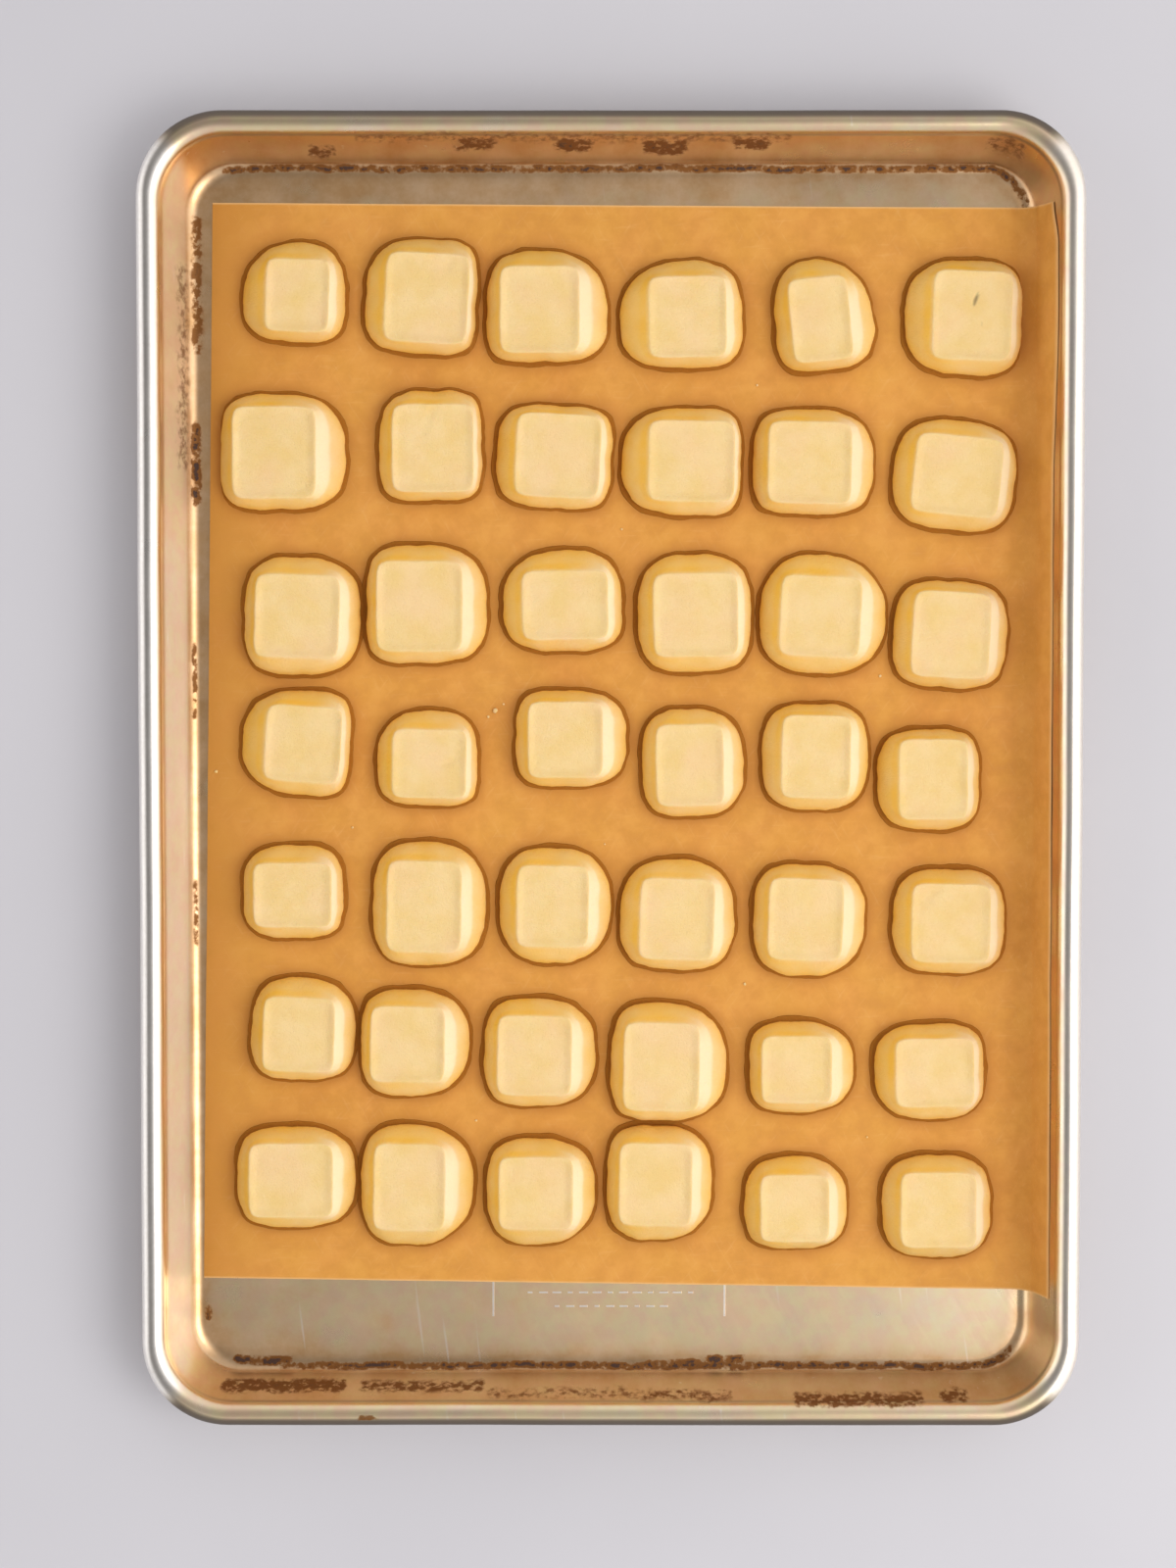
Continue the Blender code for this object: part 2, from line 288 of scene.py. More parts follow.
def parchment_paper():
    """Unbleached paper, softly mottled and faintly fibred, darker by its left edge, with painted shade and
    butter.
    """
    t = Tree("unbleached_parchment")
    darkening_and_painted_shade = t.attribute("darkening_and_painted_shade")
    edge = t.attribute("edge")
    butter_and_painted_shade = t.attribute("butter_and_painted_shade")
    cloud = t.noise(26, detail=3)
    mottle = t.noise(150, detail=4, roughness=0.58)
    hue = t.noise(75, detail=3, roughness=0.6)
    pulp = t.noise(1300, detail=3, roughness=0.6)
    lays = [t.noise(1000, detail=2, place=t.stretched((1, 9, 1), (0, 0, turn))) for turn in (0.5, 1.6, 2.5)]
    colour = t.mix(t.remap(cloud, 0.3, 0.7), (0.705, 0.334, 0.060), (0.645, 0.294, 0.052))
    colour = t.mix(t.remap(hue, 0.42, 0.66, 0, 0.5), colour, (0.700, 0.300, 0.072))
    colour = t.mix(t.remap(mottle, 0.48, 0.66, 0, 0.45), colour, (0.760, 0.385, 0.082))
    colour = t.mix(t.remap(mottle, 0.50, 0.32, 0, 0.4), colour, (0.580, 0.245, 0.046))
    for lay in lays:
        colour = t.mix(t.remap(lay, 0.62, 0.76, 0, 0.14), colour, (0.82, 0.50, 0.20))
    colour = t.mix(t.remap(pulp, 0.64, 0.76, 0, 0.22), colour, (0.45, 0.19, 0.04))
    # Darker near the left edge, and painted shade in the hollow of the curl.
    darkened_and_shaded = t.math("MULTIPLY", darkening_and_painted_shade, t.remap(mottle, 0.3, 0.7, 0.8, 1.15))
    colour = t.mix(darkened_and_shaded, colour, (0.420, 0.170, 0.020))
    # Butter stain and painted contact shade round each biscuit.
    soaked_and_shaded = t.math("MULTIPLY", butter_and_painted_shade, t.remap(hue, 0.35, 0.65, 0.40, 0.80))
    colour = t.mix(soaked_and_shaded, colour, (0.410, 0.155, 0.022))
    colour = t.mix(t.math("MULTIPLY", edge, 0.55), colour, (0.86, 0.60, 0.30))
    t.put(t.shader.inputs["Base Color"], colour)
    t.put(t.shader.inputs["Roughness"], t.remap(mottle, 0.3, 0.7, 0.60, 0.78))
    t.shader.inputs["Specular IOR Level"].default_value = 0.3
    relief = t.math("ADD", mottle, t.math("MULTIPLY", pulp, 0.4))
    t.put(t.shader.inputs["Normal"], t.bump(relief, 0.00008, 0.6))
    return t.material


def shortbread():
    """Baked dough: pale, sandy, faintly blotched top; golden sides, dark foot, partly painted light and
    shade.
    """
    t = Tree("shortbread_crumb")
    gold_shade_and_highlight = t.attribute("gold_shade_and_highlight")
    foot = t.attribute("foot")
    mark = t.attribute("mark")
    blotch = t.noise(95, detail=3, roughness=0.5)
    tint = t.noise(60, detail=2)
    sand = t.noise(1100, detail=5, roughness=0.7)
    grains = t.cells(1500)
    colour = t.mix(t.remap(blotch, 0.35, 0.65), (0.830, 0.615, 0.300), (0.800, 0.570, 0.235))
    colour = t.mix(t.remap(tint, 0.45, 0.70, 0, 0.5), colour, (0.840, 0.580, 0.330))
    colour = t.mix(t.remap(sand, 0.58, 0.75, 0, 0.35), colour, (0.70, 0.45, 0.17))
    colour = t.mix(t.remap(sand, 0.42, 0.28, 0, 0.40), colour, (0.90, 0.72, 0.42))
    # Painted highlight: the right sides paler and creamier than the top.
    colour = t.mix(t.remap(gold_shade_and_highlight, 0.0, -0.5, 0, 0.8), colour, (0.910, 0.755, 0.500))
    # Golden sides, partly painted shade on the left and back.
    golden_and_shaded = t.math("MULTIPLY", gold_shade_and_highlight, t.remap(blotch, 0.3, 0.7, 0.82, 1.12))
    colour = t.mix(golden_and_shaded, colour, (0.850, 0.475, 0.057))
    # Toasted foot, whose dark colour also paints the contact shade round the biscuit.
    toasted_and_shaded = t.remap(t.math("ADD", foot, t.remap(blotch, 0.3, 0.7, -0.08, 0.08)), 0.25, 0.85, smooth=True)
    colour = t.mix(toasted_and_shaded, colour, (0.370, 0.135, 0.010))
    colour = t.mix(t.remap(mark, 0.2, 0.9, 0, 0.85), colour, (0.27, 0.20, 0.09))
    t.put(t.shader.inputs["Base Color"], colour)
    t.put(t.shader.inputs["Roughness"], t.remap(sand, 0.3, 0.7, 0.70, 0.92))
    t.shader.inputs["Specular IOR Level"].default_value = 0.25
    t.shader.inputs["Subsurface Weight"].default_value = 0.15
    t.shader.inputs["Subsurface Radius"].default_value = (1.0, 0.5, 0.2)
    t.shader.inputs["Subsurface Scale"].default_value = 0.0015
    coarse = t.bump(t.noise(320, detail=4, roughness=0.6), 0.00030, 0.75)
    pits = t.math("ADD", sand, t.remap(grains, 0.0, 0.5, -0.35, 0.2))
    t.put(t.shader.inputs["Normal"], t.bump(pits, 0.00024, 0.75, coarse))
    return t.material


def plain_floor():
    t = Tree("pale_floor")
    cloud = t.noise(5, detail=3)
    colour = t.mix(t.remap(cloud, 0.3, 0.7), (0.555, 0.55, 0.595), (0.585, 0.58, 0.625))
    t.put(t.shader.inputs["Base Color"], colour)
    t.shader.inputs["Roughness"].default_value = 0.6
    return t.material


# ---------------------------------------------------------------------------------------------
# The tray

CORNER_STEPS = 20
SHORT_STEPS = 150
LONG_STEPS = 200
BEAD_STEPS = 36
OUTER_BEAD = 24  # this many of the bead's rings, from outside, come before its inner lip
OUTLINE_COUNT = 4 * CORNER_STEPS + 2 * SHORT_STEPS + 2 * LONG_STEPS


def tray_outline(offset):
    """The tray's plan outline moved in by offset, as evenly stepped (x, y) points."""
    shrink = (RIM_CORNER - FLOOR_CORNER) / FLOOR_OFFSET
    radius = max(RIM_CORNER - shrink * offset, 0.004)
    reach_x = TRAY_WIDTH / 2 - offset - radius
    reach_y = TRAY_LENGTH / 2 - offset - radius
    corners = ((1, 1), (-1, 1), (-1, -1), (1, -1))
    points = []
    for number, (side_x, side_y) in enumerate(corners):
        for step in range(CORNER_STEPS):
            angle = math.pi / 2 * (number + step / CORNER_STEPS)
            x = side_x * reach_x + radius * math.cos(angle)
            y = side_y * reach_y + radius * math.sin(angle)
            points.append((x, y))
        angle = math.pi / 2 * (number + 1)
        outward = radius * Vector((math.cos(angle), math.sin(angle)))
        start = Vector((side_x * reach_x, side_y * reach_y)) + outward
        next_x, next_y = corners[(number + 1) % 4]
        end = Vector((next_x * reach_x, next_y * reach_y)) + outward
        steps = LONG_STEPS if number % 2 else SHORT_STEPS
        for step in range(steps):
            points.append(tuple(start.lerp(end, step / steps)))
    return points


def cove(radius, steps):
    """The bend between floor and wall, from the floor up, as (offset, z) for one face of the sheet."""
    points = []
    for step in range(steps + 1):
        angle = (math.pi / 2 - WALL_LEAN) * step / steps
        across = FLOOR_OFFSET - radius * math.sin(angle)
        points.append((across, SHEET + COVE_RADIUS - radius * math.cos(angle)))
    return points


def bead_entry(face_point):
    """Angle on the bead where the wall face that climbs through face_point runs into it."""
    across = face_point[0] - BEAD_RADIUS
    down = face_point[1] - (TRAY_HEIGHT - BEAD_RADIUS)
    distance = across * math.cos(WALL_LEAN) + down * math.sin(WALL_LEAN)
    half_chord = math.sqrt(BEAD_RADIUS**2 - distance**2)
    x = distance * math.cos(WALL_LEAN) + half_chord * math.sin(WALL_LEAN)
    z = distance * math.sin(WALL_LEAN) - half_chord * math.cos(WALL_LEAN)
    return math.atan2(z, x)


def between(start, end, steps):
    """Points strictly between two profile points."""
    return [
        (start[0] + (end[0] - start[0]) * k / steps, start[1] + (end[1] - start[1]) * k / steps)
        for k in range(1, steps)
    ]


def tray_profile():
    """(offset, z, is it on the inside) from the underside, out and over the rim, to the floor's middle."""
    outside = cove(COVE_RADIUS + SHEET, 7)
    inside = cove(COVE_RADIUS, 16)
    start = bead_entry(outside[-1])
    end = bead_entry(inside[-1]) - 2 * math.pi
    bead = []
    for step in range(BEAD_STEPS + 1):
        angle = start + (end - start) * step / BEAD_STEPS
        across = BEAD_RADIUS + BEAD_RADIUS * math.cos(angle)
        bead.append((across, TRAY_HEIGHT - BEAD_RADIUS + BEAD_RADIUS * math.sin(angle)))
    under = [(0.060, 0.0), (0.036, 0.0), (0.022, 0.0)]
    floor = [(0.0205, SHEET), (0.0225, SHEET), (0.025, SHEET), (0.028, SHEET), (0.032, SHEET), (0.037, SHEET)]
    floor += [(0.043, SHEET), (0.050, SHEET), (0.060, SHEET)]
    outer = under + outside + between(outside[-1], bead[0], 6) + bead[:OUTER_BEAD]
    inner = bead[OUTER_BEAD:] + between(bead[-1], inside[-1], 14) + inside[::-1] + floor
    return [(*p, False) for p in outer] + [(*p, True) for p in inner]


# Burnt-on residue: the wall it is on, from and to along that wall, how far out from the wall's foot its
# middle lies and half its width, all in millimetres, and how solid it is.
BURNS = (
    ("front", -134, -116, 0.9, 1.0, 1.75),
    # This long line along the front crease is burnt residue and also painted shade in the crease.
    ("front", -118, 143, 2.5, 0.90, 1.35),
    ("front", 14, 31, 1.6, 0.9, 1.15),
    ("front", 36, 39, 0.6, 1.2, 1.90),
    ("front", 43, 47, 0.4, 1.1, 1.80),
    ("front", -137, -95, 7.4, 1.15, 0.95),
    ("front", -88, -46, 7.6, 1.1, 0.72),
    ("front", -43, 12, 9.0, 1.2, 0.46),
    ("front", 12, 42, 9.5, 1.1, 0.58),
    ("front", 66, 109, 10.4, 1.3, 0.82),
    ("front", 118, 125, 9.6, 1.2, 0.85),
    ("front", -88, -83, 15.4, 0.8, 1.00),
    # This long line along the back crease is burnt residue and also painted shade in the crease.
    ("back", -136, 143, 2.2, 0.95, 1.30),
    ("back", -134, -98, 2.2, 0.8, 1.40),
    ("back", 118, 143, 2.4, 0.8, 1.25),
    ("back", -105, -98, 6.4, 1.3, 0.72),
    ("back", -54, -42, 8.8, 1.2, 0.95),
    ("back", -18, -8, 8.4, 1.2, 1.10),
    ("back", 13, 25, 8.0, 1.3, 1.10),
    ("back", 44, 54, 8.4, 1.1, 0.95),
    ("back", -88, 62, 10.0, 1.2, 0.42),
    ("back", 133, 143, 8.6, 2.0, 0.50),
    ("left", 122, 96, 1.4, 1.2, 1.45),
    ("left", 195, 150, 0.6, 1.5, 0.95),
    ("left", -193, -196, -1.8, 1.0, 1.90),
    ("left", 45, 20, 2.0, 0.8, 0.75),
    ("left", -40, -62, 2.0, 0.8, 0.65),
    ("left", 178, 108, 5.0, 1.6, 0.45),
    ("right", 206, 188, 1.2, 1.1, 1.00),
)
CORNER_REACH = 0.036  # how far from a wall's own line a point on the plan still belongs to that wall
BURN_LIMIT = 0.030  # no residue lies further in from the tray's outline than this


def burn_at(x, y, offset):
    """How solid the residue is at a point of the plan that lies offset inside the tray's outline."""
    walls = {"front": (x, -y, TRAY_LENGTH), "back": (x, y, TRAY_LENGTH)}
    walls.update(left=(y, -x, TRAY_WIDTH), right=(y, x, TRAY_WIDTH))
    out = (FLOOR_OFFSET - offset) / MM
    most = 0.0
    for wall, start, end, centre, half_width, strength in BURNS:
        along, towards, size = walls[wall]
        if size / 2 - towards > CORNER_REACH:
            continue
        along /= MM
        past_end = max(min(start, end) - along, along - max(start, end), 0)
        sway = 0.55 * fractal((along * 0.12, centre, 2.6), 2)
        distance = math.hypot(past_end, out - centre - sway)
        most = max(most, strength * (1 - smoothstep(distance / (2.2 * half_width))))
    return most


def ends_share(x, y):
    """1 along the tray's front and back, 0 along its left and right, and between them at the corners."""
    nearer_end = TRAY_WIDTH / 2 - abs(x) - TRAY_LENGTH / 2 + abs(y)
    return smoothstep(nearer_end / 0.012 + 0.5)


def film_at(x, y, z, offset):
    """How thick the amber film is on the floor, up the walls, of which the left is paler, and on the rim."""
    at_ends = ends_share(x, y)
    back = smoothstep(y / 0.05 + 0.5)
    floor = 0.60 - 1.0 * x + 0.28 * back + 0.50 * math.exp(-max(offset - FLOOR_OFFSET, 0) / 0.003)
    pale = smoothstep((-x - 0.138) / 0.006)
    pale *= smoothstep((0.222 - abs(y)) / 0.014) * smoothstep((0.150 - y) / 0.09)
    wall = 0.84 - 0.33 * pale - 0.14 * (1 - at_ends)
    inner_lip = smoothstep((offset - 0.0052) / 0.0022)
    rim = at_ends * 0.50 + (1 - at_ends) * (0.07 + 0.35 * x + 0.24 * inner_lip)
    rising = smoothstep((z / TRAY_HEIGHT - 0.05) / 0.12)
    turning = smoothstep((z / TRAY_HEIGHT - 0.76) / 0.12)
    below = floor + (wall - floor) * rising
    return below + (rim - below) * turning


def painted_shade_at(x, y, z, offset):
    """How much painted shade the metal has, laid on as a dull grey.

    On the rim it stands in for dark reflections: along its outer edge at the front and back,
    over its crown there, and in a line on each side. Below the rim it is painted shade in the creases
    at the foot of the front and back walls, and the floor is darker towards its right.
    """
    at_ends = ends_share(x, y)
    on_rim = z > 0.7 * TRAY_HEIGHT and offset < 2 * BEAD_RADIUS + 0.0002
    if on_rim:
        # Painted dark reflections: the rim's outer edge and crown at the front and back, a line on each side.
        outermost = smoothstep((0.0035 - offset) / 0.0009) * smoothstep((z / TRAY_HEIGHT - 0.79) / 0.06)
        crown = 0.10 + 0.20 * smoothstep(y / 0.05 + 0.5)
        middle, darkness = (0.0057, 0.30) if x > 0 else (0.0034, 0.42)
        side_line = darkness * math.exp(-(((offset - middle) / 0.0013) ** 2))
        return at_ends * max(0.95 * outermost, crown) + (1 - at_ends) * side_line
    # Painted shade in the creases at the foot of the front and back walls.
    crease = 0.42 * at_ends * math.exp(-(((FLOOR_OFFSET - offset - 0.0022) / 0.0030) ** 2))
    # The floor is darker towards its right.
    floor = 0.24 * smoothstep(x / 0.12) if offset > FLOOR_OFFSET else 0
    return max(crease, floor)


def matt_at(x, z):
    """How matt the metal is on the inside of the left wall, where the film on it is pale and dull."""
    return 0.62 * smoothstep((-x - 0.1475) / 0.004) * smoothstep((0.0205 - z) / 0.003)


def build_tray(material):
    profile = tray_profile()
    outlines = {}
    vertices, film, burn, painted_shade, matt = [], [], [], [], []
    for offset, z, inside in profile:
        if offset not in outlines:
            outlines[offset] = tray_outline(offset)
        for x, y in outlines[offset]:
            height = z / TRAY_HEIGHT
            sway = WALL_SWAY * height * fractal((x * 14, y * 14, 3.7), 2)
            lift = 0
            if offset > FLOOR_OFFSET and z > 0:
                lift = FLOOR_LIFT * (fractal((x * 18, y * 18, 8.1), 2) + 0.6)
            lift += RIM_WAVE * height * height * fractal((x * 11, y * 11, 1.3), 2)
            inward = Vector((-x, -y)).normalized()
            vertices.append((x + inward.x * sway, y + inward.y * sway, z + lift))
            used = inside or z > RIM_SIDE
            stain = 0.22 + 0.22 * fractal((x * 30, y * 30, z * 60), 2)
            film.append(film_at(x, y, z, offset) if used else max(stain, 0.05))
            burn.append(burn_at(x, y, offset) if inside and offset < BURN_LIMIT else 0)
            painted_shade.append(painted_shade_at(x, y, z, offset) if used else 0)
            matt.append(matt_at(x, z) if inside else 0.25)
    faces = ring_faces(len(profile), OUTLINE_COUNT, first_cap=True, last_cap=True)
    tray = new_piece("tray_finish", vertices, faces, material)
    for name, values in (("film", film), ("burn", burn), ("painted_shade", painted_shade), ("matt", matt)):
        set_attribute(tray, name, values)
    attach(tray, "root")
    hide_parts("tray")


def add_bar(work, x, y, width, length):
    """A low bar with sloping sides on the tray's floor, its place and size in millimetres."""
    for vertex in bmesh.ops.create_cube(work, size=1.0)["verts"]:
        raised = vertex.co.z > 0
        vertex.co.x = (x + vertex.co.x * (width - 0.3 * raised)) * MM
        vertex.co.y = (y + vertex.co.y * (length - 0.3 * raised)) * MM
        vertex.co.z = SHEET + STAMP_HEIGHT if raised else SHEET - STAMP_SINK


def build_stamp(material):
    """A raised maker's panel with no lettering: two side bars and rows of plain dashes, in millimetres."""
    work = bmesh.new()
    for x in (-42.0, 41.0):
        add_bar(work, x, -189.5, 0.9, 13.0)
    # The rows of dashes: y, how many there are, their spacing and their width.
    for y, count, pitch, width in ((-187.2, 13, 4.8, 3.4), (-192.2, 9, 4.8, 3.2)):
        for k in range(count):
            x = (k - (count - 1) / 2) * pitch
            add_bar(work, x, y, width if k % 3 else 0.6 * width, 0.9)
    data = bpy.data.meshes.new("tray_stamp")
    work.to_mesh(data)
    work.free()
    data.materials.append(material)
    data.attributes.new("film", "FLOAT", "POINT").data.foreach_set("value", [0.1] * len(data.vertices))
    stamp = bpy.data.objects.new("tray_stamp", data)
    bpy.context.scene.collection.objects.link(stamp)
    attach(stamp, "root")


# ---------------------------------------------------------------------------------------------
# The parchment


def curl_start():
    """x where the paper leaves the floor, so that its curl touches down on the wall."""
    offset, height = cove(COVE_RADIUS, 10)[-1]
    rise = PAPER_BASE - height
    foot = TRAY_WIDTH / 2 - offset + rise * math.tan(WALL_LEAN) - WALL_CLEARANCE / math.cos(WALL_LEAN)
    return foot - CURL_RADIUS * math.tan(CURL_ANGLE / 2)


def paper_ripple(x, y):
    """How far the paper rises above its lowest level, leaving out the stronger waves at its edges."""
    return PAPER_RIPPLE * (1 + fractal((x * 22, y * 16, 2.2), 2))


def darkening_and_painted_shade_at(from_left, past_bend, share):
    """How much darker the paper is: most near its left edge, and a little in the hollow of its curl, as
    painted shade.

    from_left and past_bend are distances from the left edge and from where the curl starts, and share
    runs from 0 at the front to 1 at the back.
    """
    left = 0.72 * math.exp(-max(from_left, 0) / 0.012)
    # Painted shade in the curl's hollow, under the rim.
    hollow = smoothstep((past_bend + 0.004) / 0.005) * smoothstep((0.016 - past_bend) / 0.006)
    return max(left, (0.02 + 0.08 * smoothstep(share * 1.5 - 0.3)) * hollow)


def butter_and_painted_shade_at(points):
    """How much butter stain and painted contact shade the paper has at each point, most right beside a
    biscuit.
    """
    nearest = np.ones(len(points))
    for name in sorted(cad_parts):
        if not name.startswith("biscuit_"):
            continue
        widest = fine_outline(cad_outlines(name)[0][1])[:, :2]
        low, high = (np.array(corner)[:2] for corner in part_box(name))
        near = np.all((points > low - HALO_LIMIT) & (points < high + HALO_LIMIT), axis=1)
        gaps = np.linalg.norm(points[near][:, None] - widest[None], axis=2).min(axis=1)
        nearest[near] = np.minimum(nearest[near], gaps)
    return np.exp(-((nearest / HALO_REACH) ** 2))


def build_parchment(material):
    flat_steps, bend_steps, tail_steps, rows = 150, 14, 5, 200
    end_row = 0.002  # the first and last rows are this share of the length, so the edge's pale line is thin
    start = curl_start()
    bend = CURL_RADIUS * CURL_ANGLE
    columns = flat_steps + bend_steps + tail_steps + 1
    top, under, darkening_and_painted_shade, edges = [], [], [], []
    for row in range(rows + 1):
        share = min(max((row - 1) / (rows - 2), end_row * row), 1 - end_row * (rows - row))
        left = PAPER_LEFT[0] + (PAPER_LEFT[1] - PAPER_LEFT[0]) * share
        tail = CURL_TAIL[0] + (CURL_TAIL[1] - CURL_TAIL[0]) * share
        tail += TAIL_WAVE * smoothstep((share - 0.72) / 0.15) * smoothstep((1 - share) / 0.04)
        tail += 0.0006 * fractal((share * 9, 1.7, 4.1), 2)
        length = start - left + bend + tail
        for column in range(columns):
            if column <= flat_steps:
                distance, slope = left + (start - left) * column / flat_steps, 0.0
            elif column <= flat_steps + bend_steps:
                slope = CURL_ANGLE * (column - flat_steps) / bend_steps
                distance = start + bend * (column - flat_steps) / bend_steps
            else:
                slope = CURL_ANGLE
                distance = start + bend + tail * (column - flat_steps - bend_steps) / tail_steps
            along = (distance - left) / length
            front = PAPER_FRONT[0] + (PAPER_FRONT[1] - PAPER_FRONT[0]) * along
            back = PAPER_BACK[0] + (PAPER_BACK[1] - PAPER_BACK[0]) * along
            y = front + (back - front) * share
            past = max(distance - start - slope * CURL_RADIUS, 0) if slope else 0
            flat_x = min(distance, start)
            x = flat_x + CURL_RADIUS * math.sin(slope) + past * math.cos(slope)
            z = PAPER_BASE + CURL_RADIUS * (1 - math.cos(slope)) + past * math.sin(slope)
            margin = min(distance - left, y - front, back - y)
            edge_wave = max(fractal((distance * 17, y * 17, 5.5), 2) + 0.25, 0)
            ripple = paper_ripple(distance, y)
            ripple += EDGE_RIPPLE * math.exp(-margin / EDGE_RIPPLE_REACH) * edge_wave
            if past:
                ripple *= 0.3
            darkening_and_painted_shade.append(darkening_and_painted_shade_at(distance - left, distance - start, share))
            edges.append(1 if row in (0, rows) or column == columns - 1 else 0)
            x -= ripple * math.sin(slope)
            z += ripple * math.cos(slope)
            under.append((x, y, z))
            top.append((x - PAPER * math.sin(slope), y, z + PAPER * math.cos(slope)))
    shift = len(top)
    faces = []
    for row in range(rows):
        for column in range(columns - 1):
            a = row * columns + column
            quad = (a, a + 1, a + columns + 1, a + columns)
            faces.append(quad)
            faces.append(tuple(shift + i for i in reversed(quad)))
    rim = list(range(columns))
    rim += [r * columns + columns - 1 for r in range(1, rows + 1)]
    rim += [rows * columns + c for c in range(columns - 2, -1, -1)]
    rim += [r * columns for r in range(rows - 1, 0, -1)]
    for a, b in zip(rim, rim[1:] + rim[:1]):
        faces.append((a, shift + a, shift + b, b))
    paper = new_piece("parchment_sheet", top + under, faces, material, sharp_degrees=50)
    set_attribute(paper, "darkening_and_painted_shade", darkening_and_painted_shade + darkening_and_painted_shade)
    set_attribute(paper, "edge", edges + edges)
    set_attribute(paper, "butter_and_painted_shade", butter_and_painted_shade_at(np.array(top + under)[:, :2]))
    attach(paper, "root")
    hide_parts("parchment")


# ---------------------------------------------------------------------------------------------
# The biscuits

# Marks on some tops: from (x, y) to (x, y), both from the biscuit's middle, half the width and the depth,
# all in millimetres, and how dark the mark is.
MARKS = {
    "biscuit_r1_c6": ((2.9, 4.3, 4.0, 7.1, 0.8, 0.5, 1.0), (5.5, -3.5, 5.6, -2.3, 0.4, 0.15, 0.35)),
    "biscuit_r1_c2": ((9.4, 9.1, 10.7, 13.1, 1.5, 0.35, 0.16),),
    "biscuit_r2_c2": ((-2.5, 3.1, 1.0, 11.9, 0.9, 0.45, 0.14),),
    "biscuit_r4_c2": ((6.3, -2.0, 11.3, -0.2, 0.9, 0.40, 0.10),),
    "biscuit_r4_c1": ((2.0, -5.0, 4.8, -3.5, 0.8, 0.30, 0.06),),
    "biscuit_r5_c6": ((-10.3, 6.3, -4.1, 12.6, 1.2, 0.55, 0.10),),
    "biscuit_r6_c6": ((-9.8, -11.5, -1.8, -10.2, 1.1, 0.25, 0.10),),
}


def cad_outlines(name):
    """The CAD biscuit's outlines from its base to its flat top, each starting on its own +X side."""
    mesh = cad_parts[name].data
    points = np.unique(np.round([v.co for v in mesh.vertices], 6), axis=0)
    points = points[np.argsort(points[:, 2])]
    breaks = np.flatnonzero(np.diff(points[:, 2]) > 0.0001) + 1
    levels = np.split(points, breaks)
    centre = levels[-1].mean(axis=0)
    outlines = []
    for level in levels:
        angles = np.arctan2(level[:, 1] - centre[1], level[:, 0] - centre[0])
        outlines.append(level[np.argsort((angles + math.radians(12)) % (2 * math.pi))])
    return outlines, centre


def fine_outline(points, tension=1.0):
    """A closed curve through an outline's points: smooth at a tension of 1, straight between them at 0."""
    after, before = np.roll(points, -1, axis=0), np.roll(points, 1, axis=0)
    ahead = np.linalg.norm(after - points, axis=1, keepdims=True)
    behind = np.linalg.norm(points - before, axis=1, keepdims=True)
    slope = ((points - before) / behind * ahead + (after - points) / ahead * behind) / (ahead + behind)
    slope *= tension
    fine = []
    for i in range(len(points)):
        j = (i + 1) % len(points)
        steps = SEGMENT_STEPS[i % len(SEGMENT_STEPS)]
        for step in range(steps):
            fine.append(hermite(points[i], points[j], slope[i] * ahead[i], slope[j] * ahead[i], step / steps))
    return np.array(fine)


def hermite(start, end, leaving, arriving, share):
    square, cube = share * share, share**3
    return (
        (2 * cube - 3 * square + 1) * start
        + (cube - 2 * square + share) * leaving
        + (3 * square - 2 * cube) * end
        + (cube - square) * arriving
    )


def side_rings(base, widest, shoulder, top):
    """Rings up the sides as (points, share of the way down from the top, how much toasted foot and painted
    shade).
    """
    out_of_base = (widest - base) * 1.3
    at_widest = (shoulder - base) * 0.55
    at_shoulder = (top - widest) * 0.55
    into_top = (top - shoulder) * 1.15
    lying = np.array([PAPER_BASE + PAPER + paper_ripple(x, y) for x, y, _ in base])
    outward = widest[:, :2] - widest[:, :2].mean(axis=0)
    outward /= np.linalg.norm(outward, axis=1, keepdims=True)
    shaded = np.array([toward_shade(x, y) for x, y in outward])
    spread = FOOT_REACH * (0.84 + 0.16 * shaded)
    spread *= [1 + 0.35 * fractal((x * 130, y * 130, 6.6), 2) for x, y, _ in base]
    rings = []
    # The foot's rings, from its underside out and back in over its top, in shares of its reach and height.
    for reach, height in ((-0.5, 0.0), (0.85, 0.0), (1.0, 0.4), (0.8, 0.8), (0.3, 1.0)):
        ring = widest.copy()
        ring[:, :2] += outward * (spread * reach)[:, None]
        ring[:, 2] = lying + FOOT_HEIGHT * height
        rings.append((ring, 1.0, 1.0))
    tucked = base.copy()
    tucked[:, :2] = (base[:, :2] + widest[:, :2]) / 2
    tucked[:, 2] = lying + FOOT_HEIGHT * 1.3
    rings.append((tucked, 0.98, 0.9))
    for s, foot in ((0.35, 0.55), (0.7, 0.25)):
        rings.append((hermite(base, widest, out_of_base, at_widest, s), 0.98 - 0.2 * s, foot))
    for s in (0, 0.25, 0.5, 0.75):
        ring = hermite(widest, shoulder, at_widest, at_shoulder, s)
        rings.append((ring, 0.78 - 0.4 * s, 0.15 if s == 0 else 0))
    for s in (0, 0.25, 0.5, 0.75, 0.92):
        rings.append((hermite(shoulder, top, at_shoulder, into_top, s), 0.38 - 0.36 * s, 0))
    return rings


